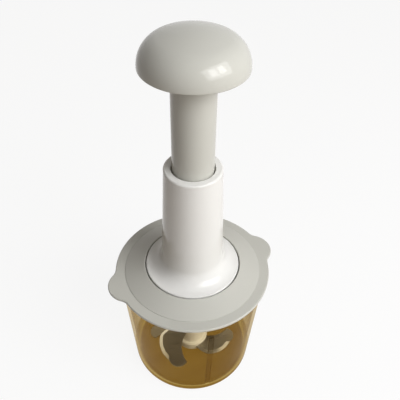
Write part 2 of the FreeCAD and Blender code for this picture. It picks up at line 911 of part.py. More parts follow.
def spiral_profile(body, height, gap):
    """Section of one left-hand spiral rib at a height, turned to where the spindle's rib is
    there, and widened by a gap for the groove that it runs in."""
    sketch = new_sketch(body, "spiral", "XZ_Plane")
    turn = 360 * (spiral_low - height) / cell("spiral_lead")
    sketch.AttachmentOffset = Placement(Vector(), Rotation(Vector(0, 1, 0), value(turn)))
    half = cell("spiral_width") / 2 + gap
    crest = half - cell("spiral_taper")
    inner = cell("spiral_core") - cell("spiral_taper")
    outer = cell("spiral_radius") + gap
    outline(sketch, [
        (inner, height - half),
        (outer, height - crest),
        (outer, height + crest),
        (inner, height + half),
    ])
    return sketch


def spiral(body, kind, height, rise, gap):
    """Sweep the rib's section up its helix, once for each start."""
    sketch = spiral_profile(body, height, gap)
    feature = body.newObject(kind, f"{body.Name}_spiral")
    feature.Profile = sketch
    feature.ReferenceAxis = (sketch, ["V_Axis"])
    feature.Mode = "pitch-height-angle"
    feature.LeftHanded = True
    feature.Pitch = SIZES["spiral_lead"]
    feature.setExpression("Pitch", "Sizes.spiral_lead")
    feature.Height = value(rise)
    feature.setExpression("Height", text(rise))
    repeated(body, "spirals", [feature], cell("spiral_starts"))


def drive_spindle():
    """Spiral spindle: pilot, square for the pawl rotor, thrust flange, journal and spiral."""
    body = new_body("drive_spindle")
    core = cell("spiral_core")
    pilot = cell("pilot_radius")
    square_low = cup_inside + cell("rotor_gap")
    tip = cell("spindle_tip")
    turned(body, "core", [
        (0, cup_inside - cell("pilot_depth") + cell("fit_gap")),
        (pilot, cup_inside - cell("pilot_depth") + cell("fit_gap")),
        (pilot, flange_low),
        (cell("washer_radius"), flange_low),
        (cell("washer_radius"), upper_washer_low),
        (cell("journal_radius"), upper_washer_low),
        (cell("journal_radius"), housing_top),
        (core, housing_top),
        (core, spindle_top - tip),
        (core - tip / 2, spindle_top),
        (0, spindle_top),
    ])
    raised(body, "square", lambda sketch: outline(sketch, square(cell("square_side"))),
           square_low, flange_low - square_low)
    rise = spindle_top - tip - cell("spiral_width") / 2 - spiral_low
    spiral(body, "PartDesign::AdditiveHelix", spiral_low, rise, 0)
    return body


def drive_nut():
    """Nut held in the tube by two keys; its grooves run on the spindle's spiral ribs."""
    body = new_body("drive_nut")
    outer = tube_bore - cell("fit_gap")
    ring(body, "blank", outer, cell("spiral_core") + cell("spiral_gap"), nut_low, nut_top)
    half = cell("nut_key_width") / 2
    key = raised(body, "key", lambda sketch: outline(sketch, [
        (outer - cell("nut_key"), -half),
        (tube_bore + cell("nut_key"), -half),
        (tube_bore + cell("nut_key"), half),
        (outer - cell("nut_key"), half),
    ]), nut_low, cell("nut_height"))
    repeated(body, "keys", [key], 2)
    clear = cell("spiral_width")
    rise = cell("nut_height") + 2 * clear
    spiral(body, "PartDesign::SubtractiveHelix", nut_low - clear, rise, cell("spiral_gap"))
    return body


def drive_shaft():
    """Output shaft: clutch cup with ratchet teeth, journal, and the hexagon for the hub."""
    body = new_body("drive_shaft")
    journal = cell("journal_radius")
    journal_low = lid_under - cell("shaft_seal_rim")
    pilot = cell("pilot_radius") + cell("journal_gap")
    turned(body, "cup", [
        (0, journal_low),
        (journal, journal_low),
        (journal, cup_low),
        (cell("cup_radius"), cup_low),
        (cell("cup_radius"), cup_top),
        (cell("tooth_tip"), cup_top),
        (cell("tooth_tip"), cup_inside),
        (pilot, cup_inside),
        (pilot, cup_inside - cell("pilot_depth")),
        (0, cup_inside - cell("pilot_depth")),
    ])
    pitch = 360 / SIZES["tooth_count"]
    gap = raised(body, "tooth_gap", lambda sketch: outline(sketch, [
        (cell("tooth_tip") - cell("rotor_gap"), 0),
        (cell("tooth_root"), 0),
        around(cell("tooth_tip"), pitch),
        around(cell("tooth_tip") - cell("rotor_gap"), pitch),
    ]), cup_inside, cell("cup_depth"), cut=True)
    repeated(body, "teeth", [gap], cell("tooth_count"))
    hex_low = hub_top - cell("socket_depth") + cell("hex_clear")
    corners = hexagon(cell("hex_flats"))
    length = journal_low - hex_low
    body.Tip = raised(body, "hexagon", lambda sketch: outline(sketch, corners), hex_low, length)
    return body


def pawl_rotor():
    """Rotor on the spindle's square: springy pawls catch the cup's teeth one way round."""
    body = new_body("pawl_rotor")
    low = cup_inside + cell("rotor_gap")
    thick = cell("rotor_thickness")
    hub = cell("rotor_radius")
    tip = cell("tooth_root") - 2 * cell("rotor_gap")
    raised(body, "hub", lambda sketch: circles(sketch, 0, 0, hub), low, thick)
    root_angle, elbow_angle, nose_angle, back_angle = 44, 24, 2.5, 62
    root_share, back_share = 0.8, 0.95
    elbow_inner, nose_inner, nose_outer, elbow_outer = 0.72, 0.83, 0.96, 0.89
    pawl = raised(body, "pawl", lambda sketch: outline(sketch, [
        around(hub * root_share, root_angle),
        around(tip * elbow_inner, elbow_angle),
        around(tip * nose_inner, nose_angle),
        around(tip * nose_outer, nose_angle),
        around(tip * elbow_outer, elbow_angle),
        around(hub * back_share, back_angle),
    ]), low, thick)
    repeated(body, "pawls", [pawl], cell("pawl_count"))
    side = cell("square_side") + 2 * cell("press_gap")
    body.Tip = raised(body, "socket", lambda sketch: outline(sketch, square(side)), low, thick, cut=True)
    return body


def clutch_housing():
    """Inverted cup over the clutch: upper spindle bearing and seat for the return spring."""
    body = new_body("clutch_housing")
    inside = cell("housing_radius") - cell("housing_wall")
    turned(body, "cup", [
        (inside, plate_top),
        (cell("housing_radius"), plate_top),
        (cell("housing_radius"), housing_top),
        (bore, housing_top),
        (bore, roof_inside),
        (inside, roof_inside),
    ])
    return body


def plain_ring(label, outer, inner, low, high):
    body = new_body(label)
    ring(body, "ring", outer, inner, low, high)
    return body


def thrust_washers():
    """One washer under the clutch cup and one over the spindle's flange."""
    body = new_body("thrust_washers")
    body.AllowCompound = True
    for name, low in (("lower", washer_low), ("upper", upper_washer_low)):
        ring(body, name, cell("washer_radius"), bore, low, low + cell("washer_thickness"))
    return body


def shaft_seal():
    """Rubber grommet in the lid's centre hole that wipes the drive shaft."""
    body = new_body("shaft_seal")
    under = lid_under
    outer = cell("shaft_seal_radius") - cell("press_gap")
    rim_out = cell("shaft_seal_radius") + cell("shaft_seal_rim")
    inner = cell("journal_radius") + cell("shaft_seal_gap")
    turned(body, "grommet", [
        (inner, under - cell("seal_lip")),
        (rim_out, under - cell("seal_lip")),
        (rim_out, under),
        (outer, under),
        (outer, seat),
        (inner, seat),
    ])
    return body


def spring_path():
    """Centre line of the return spring: a close turn at each end and even coils between,
    each quarter turn a pair of arcs that share a tangent."""
    radius = SIZES["spring_radius"]
    wire = SIZES["wire_radius"]
    coils = SIZES["spring_coils"]
    low = value(housing_top) + wire
    high = value(nut_low) - wire
    close = 2 * wire + value(cell("slide_gap")) * 2
    pitch = (high - low - 2 * close) / (coils - 2)
    quarters = 4 * coils

    def height(quarter):
        turns = quarter / 4
        if turns < 1:
            return low + close * turns
        if turns > coils - 1:
            return high - close * (coils - turns)
        return low + close + pitch * (turns - 1)

    def place(quarter):
        x, y = around(radius, 90 * quarter)
        return Vector(x, y, height(quarter))

    def heading(quarter):
        before = height(max(quarter - 0.5, 0))
        after = height(min(quarter + 0.5, quarters))
        x, y = around(radius, 90 * quarter + 90)
        rise = (after - before) / (math.pi / 2) if 0 < quarter < quarters else 0
        return Vector(x, y, rise).normalize()

    arcs = []
    for quarter in range(quarters):
        arcs += arc_pair(place(quarter), heading(quarter), place(quarter + 1), heading(quarter + 1))
    return Part.Wire(arcs)


def arc_pair(start, start_heading, end, end_heading):
    """Two arcs with a shared tangent that leave and arrive along the given headings."""
    reach = end - start
    both = start_heading + end_heading
    spread = 2 - 2 * start_heading.dot(end_heading)
    along = reach.dot(both)
    arm = (math.sqrt(along * along + spread * reach.dot(reach)) - along) / spread
    first = start + start_heading * arm
    second = end - end_heading * arm
    middle = (first + second) * 0.5
    return [bent(start, first, middle), bent(middle, second, end)]


def bent(start, corner, end):
    """Arc from start to end whose end tangents meet at the corner."""
    chord_middle = (start + end) * 0.5
    half = (end - start).Length / 2
    peak = (corner - chord_middle).Length
    radius = (corner - start).Length * half / peak
    rise = radius - math.sqrt(radius * radius - half * half)
    return Part.Arc(start, chord_middle + (corner - chord_middle).normalize() * rise, end).toShape()


def return_spring():
    """Coil spring from the clutch housing up to the nut, one unbroken wire."""
    path = spring_path()
    first = path.OrderedEdges[0]
    tangent = first.tangentAt(first.FirstParameter)
    section = Part.Wire([Part.makeCircle(SIZES["wire_radius"], path.OrderedVertexes[0].Point, tangent)])
    spring = doc.addObject("Part::Feature", "return_spring")
    spring.Shape = path.makePipeShell([section], True, False)
    spring.Placement = Placement()
    spring.Label = "return_spring"
    points_a_coil = 40
    points = path.discretize(points_a_coil * SIZES["spring_coils"])
    apart = points_a_coil // 2
    gaps = [
        (points[i] - points[j]).Length - 2 * SIZES["wire_radius"]
        for i in range(len(points))
        for j in range(i + apart, len(points))
    ]
    print(f"least gap between the spring's coils {min(gaps):.2f} mm")
    return spring


blades = [
    blade("lower_blade", cell("lower_blade_rise"), cell("lower_blade_reach"), SIZES["lower_blade_angle"]),
    blade("upper_blade", cell("upper_blade_rise"), cell("upper_blade_reach"), SIZES["upper_blade_angle"]),
]
nodes = [
    bowl(),
    blade_pin(),
    *blades,
    blade_hub(blades),
    lid(),
    lid_seal(),
    shaft_seal(),
    handle_column(),
    top_bush(),
    base_plate(),
    screws("base_screws", lid_under - cell("screw_head"), cell("screw_circle")),
    plain_ring("shaft_bush", cell("bush_radius"), bore, seat, washer_low),
    thrust_washers(),
    clutch_housing(),
    drive_shaft(),
    pawl_rotor(),
    drive_spindle(),
    drive_nut(),
    plunger_tube(),
    guide_collar(),
    knob_cap(),
    knob_plate(),
    screws("knob_screws", plate_low - cell("screw_head"), cell("knob_screw_circle")),
    return_spring(),
]
doc.recompute()

for item in doc.Objects:
    if "Invalid" in item.State or "Error" in item.State:
        raise RuntimeError(f"{item.Name} failed: {item.State}")
os.makedirs("parts", exist_ok=True)
for node in nodes:
    shape = node.Shape
    if shape.isNull() or not shape.isValid():
        raise RuntimeError(f"{node.Label} has no valid shape")
    shape.exportStep(os.path.join("parts", f"{node.Label}.step"))
    box = shape.BoundBox
    print(f"{node.Label}: {len(shape.Solids)} solid, {shape.Volume:.0f} mm3,"
          f" height {box.ZMin:.1f} to {box.ZMax:.1f}, radius {box.XMax:.1f}")
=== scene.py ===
import json
import math

import bpy
from mathutils import Matrix, Vector


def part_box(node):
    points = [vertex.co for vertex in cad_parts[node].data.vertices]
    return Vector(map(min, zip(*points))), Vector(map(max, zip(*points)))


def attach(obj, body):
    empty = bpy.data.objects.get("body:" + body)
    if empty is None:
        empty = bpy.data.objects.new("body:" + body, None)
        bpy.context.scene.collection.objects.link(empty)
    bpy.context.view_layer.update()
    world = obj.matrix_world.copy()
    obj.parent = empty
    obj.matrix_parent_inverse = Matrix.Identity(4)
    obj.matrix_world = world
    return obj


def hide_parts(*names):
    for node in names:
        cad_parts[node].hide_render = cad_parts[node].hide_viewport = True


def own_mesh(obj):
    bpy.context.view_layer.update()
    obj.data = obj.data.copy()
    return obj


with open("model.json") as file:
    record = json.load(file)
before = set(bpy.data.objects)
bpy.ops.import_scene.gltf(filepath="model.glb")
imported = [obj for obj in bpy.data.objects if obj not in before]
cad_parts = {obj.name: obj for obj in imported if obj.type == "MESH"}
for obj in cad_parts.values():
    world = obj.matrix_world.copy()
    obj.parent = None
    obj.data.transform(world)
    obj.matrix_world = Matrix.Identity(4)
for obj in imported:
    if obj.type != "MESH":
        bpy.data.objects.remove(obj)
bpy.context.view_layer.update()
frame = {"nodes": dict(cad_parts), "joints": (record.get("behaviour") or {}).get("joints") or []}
nodes = frame["nodes"]

# Bowl: a clear, warm amber cup with a rounded foot, a boss in the middle of its floor and two
# upright inner ribs that stop the food from circling. It is one moulding with polished walls
# and a softly rounded rim, which the lid hides.

MM = 0.001
MERGE = 0.001 * MM
CENTRE_RADIUS = 1.0 * MM
BOWL_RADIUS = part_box("bowl")[1].x
BOWL_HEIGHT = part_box("bowl")[1].z
BOWL_BASE_RADIUS = 50.1 * MM
BOWL_WALL = 2.2 * MM
BOWL_FLOOR = 2.5 * MM
BOWL_CORNER = 5.0 * MM
BOWL_RIM_ROUND = 0.8 * MM
BOSS_RADIUS = 8.0 * MM
BOSS_TOP = 5.0 * MM
BOSS_ROUND = 0.6 * MM
PIN_HOLE_RADIUS = 3.02 * MM
PIN_HOLE_DEPTH = 3.6 * MM
BOWL_SIDES = 160
RIB_WIDTH = 4.0 * MM
RIB_DEPTH = 1.8 * MM
RIB_TOP = 80.0 * MM
RIB_TURNS = (math.radians(85.5), math.radians(265.5))
RIB_SOFTNESS = 0.7 * MM


def softened(corners, steps=6):
    """Points of a section. A (radius, height, rounding) corner is drawn as an arc, and a
    (radius, height) corner stays sharp."""
    points = []
    for index, corner in enumerate(corners):
        if len(corner) == 2:
            points.append(tuple(corner))
            continue
        here = Vector(corner[:2])
        back = (Vector(corners[index - 1][:2]) - here).normalized()
        onward = (Vector(corners[(index + 1) % len(corners)][:2]) - here).normalized()
        half = back.angle(onward) / 2
        centre = here + (back + onward).normalized() * corner[2] / math.sin(half)
        spokes = [here + way * corner[2] / math.tan(half) - centre for way in (back, onward)]
        first, last = [math.atan2(spoke.y, spoke.x) for spoke in spokes]
        sweep = (last - first + math.pi) % (2 * math.pi) - math.pi
        points += arc(centre, corner[2], first, first + sweep, steps)
    return points


def arc(centre, radius, start, end, steps):
    """Points of an arc about a (radius, height) centre, between two angles."""
    angles = [start + (end - start) * step / steps for step in range(steps + 1)]
    return [(centre[0] + radius * math.cos(turn), centre[1] + radius * math.sin(turn)) for turn in angles]


def turned(name, points, sides, capped=True):
    """Piece turned about the upright axis. Its first ring is drawn as a circle and extruded
    from point to point; the two ends are capped, or meet where the section is closed."""
    if not capped:
        points = points + points[:1]
    bpy.ops.object.select_all(action="DESELECT")
    radius, height = points[0]
    bpy.ops.mesh.primitive_circle_add(vertices=sides, radius=radius, location=(0, 0, height))
    piece = bpy.context.object
    piece.name = name
    bpy.ops.object.transform_apply(location=True)
    bpy.ops.object.mode_set(mode="EDIT")
    bpy.ops.mesh.select_all(action="SELECT")
    for (wide, low), (next_wide, next_low) in zip(points, points[1:]):
        bpy.ops.mesh.extrude_edges_move(TRANSFORM_OT_translate={"value": (0, 0, next_low - low)})
        growth = next_wide / wide
        bpy.ops.transform.resize(value=(growth, growth, 1), center_override=(0, 0, next_low))
    bpy.ops.mesh.select_all(action="SELECT")
    if capped:
        bpy.ops.mesh.fill_holes(sides=0)
    bpy.ops.mesh.remove_doubles(threshold=MERGE)
    bpy.ops.mesh.normals_make_consistent(inside=False)
    bpy.ops.object.mode_set(mode="OBJECT")
    return piece


def finished(piece, body, slot, finish, *stands_for, crease=35):
    """Smooth a piece but for its creases, give it its finish, fix it to its body and hide the
    solids that it stands for."""
    bpy.ops.object.select_all(action="DESELECT")
    bpy.context.view_layer.objects.active = piece
    piece.select_set(True)
    bpy.ops.object.shade_smooth_by_angle(angle=math.radians(crease))
    bpy.ops.object.modifier_add(type="WEIGHTED_NORMAL")
    piece.modifiers[-1].keep_sharp = True
    bpy.ops.object.modifier_apply(modifier=piece.modifiers[-1].name)
    piece.data.materials.clear()
    piece.data.materials.append(finish.material)
    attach(piece, body)
    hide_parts(*stands_for)


def cut_away(piece, tool, operation="DIFFERENCE"):
    """Cut a tool out of a piece, or join it on, and throw the tool away."""
    bpy.ops.object.select_all(action="DESELECT")
    bpy.context.view_layer.objects.active = piece
    piece.select_set(True)
    bpy.ops.object.modifier_add(type="BOOLEAN")
    change = piece.modifiers[-1]
    change.operation = operation
    change.object = tool
    bpy.ops.object.modifier_apply(modifier=change.name)
    bpy.data.objects.remove(tool)


class Signal:
    """The value of a socket, which adds and scales as a number does."""

    def __init__(self, finish, socket):
        self.finish = finish
        self.socket = socket

    def maths(self, operation, *values):
        """A Math node's result for the values given, or for this one alone."""
        inputs = dict(enumerate(values or (self,)))
        return self.finish.node("ShaderNodeMath", {"operation": operation}, inputs)

    def __add__(self, other):
        return self.maths("ADD", self, other)

    def __sub__(self, other):
        return self.maths("SUBTRACT", self, other)

    def __rsub__(self, other):
        return self.maths("SUBTRACT", other, self)

    def __mul__(self, other):
        return self.maths("MULTIPLY", self, other)

    def __pow__(self, other):
        return self.maths("POWER", self, other)

    def __gt__(self, other):
        return self.maths("GREATER_THAN", self, other)

    def __lt__(self, other):
        return self.maths("LESS_THAN", self, other)

    def eased(self, low, high):
        """From 0 below low to 1 above high, with soft ends."""
        inputs = {"Value": self, "From Min": low, "From Max": high}
        return self.finish.node("ShaderNodeMapRange", {"interpolation_type": "SMOOTHSTEP"}, inputs)

    __radd__ = __add__
    __rmul__ = __mul__


class Finish:
    """A material, its shader, and the nodes that vary it over a surface."""

    output_node = "Material Output"

    def __init__(self, name, color, roughness, **settings):
        self.material = bpy.data.materials.new(name)
        self.material.use_nodes = True
        self.tree = self.material.node_tree
        self.shader = self.tree.nodes["Principled BSDF"]
        self.surface = Signal(self, self.shader.outputs[0])
        self.color = (*color, 1)
        self.shader.inputs["Base Color"].default_value = self.color
        self.shader.inputs["Roughness"].default_value = roughness
        for setting, value in settings.items():
            self.shader.inputs[setting.replace("_", " ")].default_value = value
        self.place = self.node("ShaderNodeTexCoord", output="Object")

    def node(self, kind, settings=(), inputs=(), output=0):
        """Add any node: its settings, then the values or links of its sockets."""
        made = self.tree.nodes.new(kind)
        for key, value in dict(settings).items():
            setattr(made, key, value)
        for key, value in dict(inputs).items():
            if isinstance(value, Signal):
                self.tree.links.new(value.socket, made.inputs[key])
            else:
                made.inputs[key].default_value = value
        return Signal(self, made.outputs[output])

    def feed(self, socket, signal):
        """Let a signal set one of the shader's sockets."""
        self.tree.links.new(signal.socket, self.shader.inputs[socket])

    def show(self, surface):
        """Show another surface in place of the plain shader."""
        self.tree.links.new(surface.socket, self.tree.nodes[self.output_node].inputs["Surface"])

    def stretched(self, across=1.0, along=1.0, up=1.0):
        """The place on the piece, scaled in each of its three directions. A pattern laid on it
        is squeezed where the scale is over 1 and drawn out where it is under 1."""
        return self.node("ShaderNodeMapping", (), {"Vector": self.place, "Scale": (across, along, up)})

    def noise(self, scale, detail=2.0, where=None):
        """Soft random patches, about this many to the metre."""
        inputs = {"Vector": where or self.place, "Scale": scale, "Detail": detail}
        return self.node("ShaderNodeTexNoise", (), inputs)

    def tinted(self, amount, color, over=None):
        """The finish's own colour, or the one it is given, moved towards another by an amount.
        A Mix node takes its two colours at sockets 6 and 7, and gives the result at 2."""
        inputs = {0: amount, 6: over or self.color, 7: (*color, 1)}
        return self.node("ShaderNodeMix", {"data_type": "RGBA"}, inputs, output=2)

    def bumped(self, height, depth, strength=0.5):
        """Raise the surface where a signal is high, by up to a depth."""
        inputs = {"Height": height, "Distance": depth, "Strength": strength}
        self.feed("Normal", self.node("ShaderNodeBump", (), inputs))


bowl_corners = [
    (CENTRE_RADIUS, 0),
    (BOWL_BASE_RADIUS, 0, BOWL_CORNER),
    (BOWL_RADIUS, BOWL_HEIGHT, BOWL_RIM_ROUND),
    (BOWL_RADIUS - BOWL_WALL, BOWL_HEIGHT, BOWL_RIM_ROUND),
    (BOWL_BASE_RADIUS - BOWL_WALL, BOWL_FLOOR, BOWL_CORNER - BOWL_WALL),
    (BOSS_RADIUS, BOWL_FLOOR),
    (BOSS_RADIUS, BOSS_TOP, BOSS_ROUND),
    (PIN_HOLE_RADIUS, BOSS_TOP),
    (PIN_HOLE_RADIUS, BOSS_TOP - PIN_HOLE_DEPTH),
    (CENTRE_RADIUS, BOSS_TOP - PIN_HOLE_DEPTH),
]
bowl = turned("clear_bowl", softened(bowl_corners), BOWL_SIDES)

# A rib is a block with rounded edges that is set in the wall and leant with it
lean = math.atan((BOWL_RADIUS - BOWL_BASE_RADIUS) / (BOWL_HEIGHT - BOWL_CORNER))
rib_middle = (BOWL_FLOOR + RIB_TOP) / 2
wall_inside = BOWL_BASE_RADIUS - BOWL_WALL + math.tan(lean) * (rib_middle - BOWL_CORNER)
for rib_turn in RIB_TURNS:
    bpy.ops.mesh.primitive_cube_add(size=1)
    rib = bpy.context.object
    rib.scale = (RIB_DEPTH + BOWL_WALL / 2, RIB_WIDTH, RIB_TOP - BOWL_FLOOR)
    bpy.ops.object.transform_apply(scale=True)
    bpy.ops.object.mode_set(mode="EDIT")
    bpy.ops.mesh.select_all(action="SELECT")
    bpy.ops.mesh.bevel(offset=RIB_SOFTNESS, segments=3, affect="EDGES")
    bpy.ops.object.mode_set(mode="OBJECT")
    middle = Matrix.Translation((wall_inside - RIB_DEPTH / 2 + BOWL_WALL / 4, 0, rib_middle))
    rib.matrix_world = Matrix.Rotation(rib_turn, 4, "Z") @ middle @ Matrix.Rotation(lean, 4, "Y")
    bpy.ops.object.transform_apply()
    cut_away(bowl, rib, "UNION")

# Light crosses both faces of a wall, so a tint here is what one face lets through. The ribs are
# thicker and deeper in colour, as is a wall seen edge-on. The floor and the rounded foot are
# deeper in colour than their thickness gives, in streaks: painted shade, for a brown table in
# shade seen through them.
WALL_TINT = (0.985, 0.97, 0.92)
# The deep tint serves the ribs and edge-on walls, and is also the painted shade on floor and foot.
DEEP_TINT_AND_SHADE = (0.495, 0.362, 0.095)
# Up to these heights the floor and the foot carry painted shade.
FLOOR_SHADE_TOP = 2.7 * MM
FOOT_SHADE_TOP = 8.6 * MM
SHADE_FADE = 0.4 * MM
# How deep the floor's painted shade is, and how much it varies in streaks.
FLOOR_PAINTED_SHADE = 0.84
FLOOR_SHADE_STREAKS = 0.26
RIB_DEPTH_OF_TINT = 0.4
RIB_TINT_REACH = 2.2 * MM
RIB_PROUD = 0.15 * MM
EDGE_DEPTH_OF_TINT = 0.7
EDGE_TINT_POWER = 2
# The bowl's reflections are tinted amber, where clear plastic's are white: a painted warm reflection of
# the room.
WARM_REFLECTION_TINT = (0.78, 0.60, 0.34)
HEAD_ON_GLOSS = 0.008
EDGE_GLOSS = 0.35
EDGE_GLOSS_POWER = 5
SCRATCH_GLOSS = 0.01
CLEAR_ROUGHNESS = 0.04
SMEAR_ROUGHNESS = 0.10
SCRATCH_ROUGHNESS = 0.15
clear = Finish("clear_amber_plastic", WARM_REFLECTION_TINT, CLEAR_ROUGHNESS, Metallic=1.0)
height = clear.node("ShaderNodeSeparateXYZ", (), {"Vector": clear.place}, "Z")
# Streaks in the floor's painted shade, for the grain of the shaded table seen through it.
shade_streaks = clear.noise(scale=9.0, detail=3.0, where=clear.stretched(along=6.0, up=6.0))
facing_away = clear.node("ShaderNodeLayerWeight", output="Facing")

# The wall leans, so its inner face is further from the axis higher up, and a rib is inside it
turned_to_rib = clear.node(
    "ShaderNodeMapping",
    (),
    {"Vector": clear.place, "Rotation": (0, 0, -RIB_TURNS[0])},
)
across_rib = clear.node("ShaderNodeSeparateXYZ", (), {"Vector": turned_to_rib}, "Y")
beside_rib = across_rib.maths("ABSOLUTE")
level = clear.node("ShaderNodeVectorMath", {"operation": "MULTIPLY"}, {0: clear.place, 1: (1, 1, 0)})
from_axis = clear.node("ShaderNodeVectorMath", {"operation": "LENGTH"}, {0: level}, "Value")
inner_face = height * math.tan(lean) + (wall_inside - math.tan(lean) * rib_middle - RIB_PROUD)
outside = from_axis > inner_face + BOWL_WALL / 2
in_rib = (beside_rib < RIB_TINT_REACH) * (inner_face > from_axis) * (height > BOSS_TOP)

# Painted shade: the floor and foot are tinted deep where a brown table in shade shows through.
shade_top = FLOOR_SHADE_TOP + outside * (FOOT_SHADE_TOP - FLOOR_SHADE_TOP)
under_shade_top = 1 - (height - shade_top).eased(0, SHADE_FADE)
floor_shade = under_shade_top * (FLOOR_PAINTED_SHADE + shade_streaks * FLOOR_SHADE_STREAKS)
thin_and_unshaded = (1 - floor_shade) * (1 - in_rib * RIB_DEPTH_OF_TINT)
depth_and_shade = 1 - thin_and_unshaded * (1 - facing_away ** EDGE_TINT_POWER * EDGE_DEPTH_OF_TINT)
thin = clear.node("ShaderNodeBsdfTransparent", (), {"Color": (*WALL_TINT, 1)})
thick_and_shaded = clear.node("ShaderNodeBsdfTransparent", (), {"Color": (*DEEP_TINT_AND_SHADE, 1)})
body_of_plastic = clear.node("ShaderNodeMixShader", (), {0: depth_and_shade, 1: thin, 2: thick_and_shaded})
edge_on = HEAD_ON_GLOSS + facing_away ** EDGE_GLOSS_POWER * EDGE_GLOSS
smears = clear.noise(scale=22.0, detail=4.0, where=clear.stretched(up=0.4)).eased(0.52, 0.75)
scratches = clear.noise(scale=60.0, where=clear.stretched(up=0.02)).eased(0.68, 0.74)
clear.feed("Roughness", CLEAR_ROUGHNESS + smears * SMEAR_ROUGHNESS + scratches * SCRATCH_ROUGHNESS)
gloss = edge_on + scratches * SCRATCH_GLOSS
clear.show(clear.node("ShaderNodeMixShader", (), {0: gloss, 1: body_of_plastic, 2: clear.surface}))
finished(bowl, "bowl_body", "clear_bowl", clear, "bowl")

# Centre pin: a drawn steel pin pressed into the bowl's boss, its top chamfered so that the
# blade unit drops on easily. Screws, washers and spindle are turned from the same steel.

STEEL = (0.56, 0.55, 0.53)
STEEL_HAZE = (0.42, 0.41, 0.39)
HAZE_SHARE = 0.5
STEEL_ROUGHNESS = 0.2
LATHE_MARK_ROUGHNESS = 0.18
LATHE_MARK_DEPTH = 0.01 * MM
steel = Finish("drawn_steel", STEEL, STEEL_ROUGHNESS, Metallic=1.0)
lathe_marks = steel.noise(scale=30.0, where=steel.stretched(up=90.0))
haze = steel.noise(scale=120.0, detail=3.0).eased(0.45, 0.8)
steel.feed("Base Color", steel.tinted(haze * HAZE_SHARE, STEEL_HAZE))
steel.feed("Roughness", STEEL_ROUGHNESS + lathe_marks * LATHE_MARK_ROUGHNESS)
steel.bumped(lathe_marks, LATHE_MARK_DEPTH)


def clad(finish, *names):
    """Give solids that stay as they are their finish."""
    for name in names:
        nodes[name].data.materials.clear()
        nodes[name].data.materials.append(finish.material)


clad(steel, "blade_pin")

# Two S-shaped blades: stamped from stainless sheet that is brushed one way, each with a bright
# ground bevel on its leading edges. Their middles are moulded into the hub.

BLADE_STEEL = (0.36, 0.33, 0.28)
BLADE_DULLED = (0.22, 0.20, 0.17)
MARKED_SHARE = 0.35
BRUSHED_SHARE = 0.3
BEVEL_STEEL = (0.86, 0.85, 0.83)
BEVEL_STEEP_END = (0.55, 0.7)
BEVEL_FLAT_END = (0.97, 0.995)
BLADE_ROUGHNESS = 0.2
BRUSHED_ROUGHNESS = 0.22
BEVEL_SMOOTHNESS = 0.1
BRUSHING_DEPTH = 0.015 * MM
blade_steel = Finish("ground_blade_steel", BLADE_STEEL, BLADE_ROUGHNESS, Metallic=1.0)
one_way = blade_steel.stretched(across=3.0, along=60.0, up=3.0)
brushing = blade_steel.noise(scale=26.0, detail=3.0, where=one_way)
facing = blade_steel.node("ShaderNodeNewGeometry", output="Normal")
upward = blade_steel.node("ShaderNodeSeparateXYZ", (), {"Vector": facing}, "Z")
ground = upward.eased(*BEVEL_STEEP_END) - upward.eased(*BEVEL_FLAT_END)
marks = blade_steel.noise(scale=55.0, detail=3.0).eased(0.55, 0.7)
dull = blade_steel.tinted(marks * MARKED_SHARE + brushing * BRUSHED_SHARE, BLADE_DULLED)
blade_steel.feed("Base Color", blade_steel.tinted(ground, BEVEL_STEEL, over=dull))
roughened = BLADE_ROUGHNESS + brushing * BRUSHED_ROUGHNESS
blade_steel.feed("Roughness", roughened - ground * BEVEL_SMOOTHNESS)
blade_steel.bumped(brushing, BRUSHING_DEPTH)
clad(blade_steel, "lower_blade", "upper_blade")

# Blade hub: a cream white tower moulded round both blades, wide at the foot, with a hexagonal
# socket in its head for the drive shaft. It turns on the pin, so its bore runs up inside.

HUB_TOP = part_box("blade_hub")[1].z
HUB_FOOT_RADIUS = 13.5 * MM
HUB_FOOT_TOP = BOSS_TOP + 7.5 * MM
HUB_FOOT_EDGE = 0.6 * MM
HUB_FOOT_SHOULDER = 1.4 * MM
HUB_RADIUS = 10.8 * MM
HUB_STEP_ROUND = 0.9 * MM
HUB_WAIST = BOSS_TOP + 40.0 * MM
HUB_TAPER = 10.8 * MM
HUB_TAPER_ROUND = 4.0 * MM
HUB_NECK_RADIUS = 8.6 * MM
HUB_HEAD_RADIUS = 9.4 * MM
HUB_HEAD_HEIGHT = 16.0 * MM
HUB_HEAD_SLOPE = 0.8 * MM
HUB_HEAD_LOWER_EDGE = 0.5 * MM
HUB_HEAD_TOP_EDGE = 0.8 * MM
HUB_BORE = 3.05 * MM
HUB_BORE_TOP = BOSS_TOP + 20.8 * MM
HUB_SIDES = 96
SOCKET_DEPTH = 15.0 * MM
SOCKET_FLATS = 7.8 * MM
SOCKET_TURN = math.radians(30)
hub_corners = [
    (HUB_BORE, HUB_BORE_TOP),
    (HUB_BORE, BOSS_TOP),
    (HUB_FOOT_RADIUS, BOSS_TOP, HUB_FOOT_EDGE),
    (HUB_FOOT_RADIUS, HUB_FOOT_TOP, HUB_FOOT_SHOULDER),
    (HUB_RADIUS, HUB_FOOT_TOP, HUB_STEP_ROUND),
    (HUB_RADIUS, HUB_WAIST, HUB_TAPER_ROUND),
    (HUB_NECK_RADIUS, HUB_WAIST + HUB_TAPER, HUB_TAPER_ROUND),
    (HUB_NECK_RADIUS, HUB_TOP - HUB_HEAD_HEIGHT - HUB_HEAD_SLOPE),
    (HUB_HEAD_RADIUS, HUB_TOP - HUB_HEAD_HEIGHT, HUB_HEAD_LOWER_EDGE),
    (HUB_HEAD_RADIUS, HUB_TOP, HUB_HEAD_TOP_EDGE),
    (CENTRE_RADIUS, HUB_TOP),
]
hub = turned("hub_moulding", softened(hub_corners), HUB_SIDES)
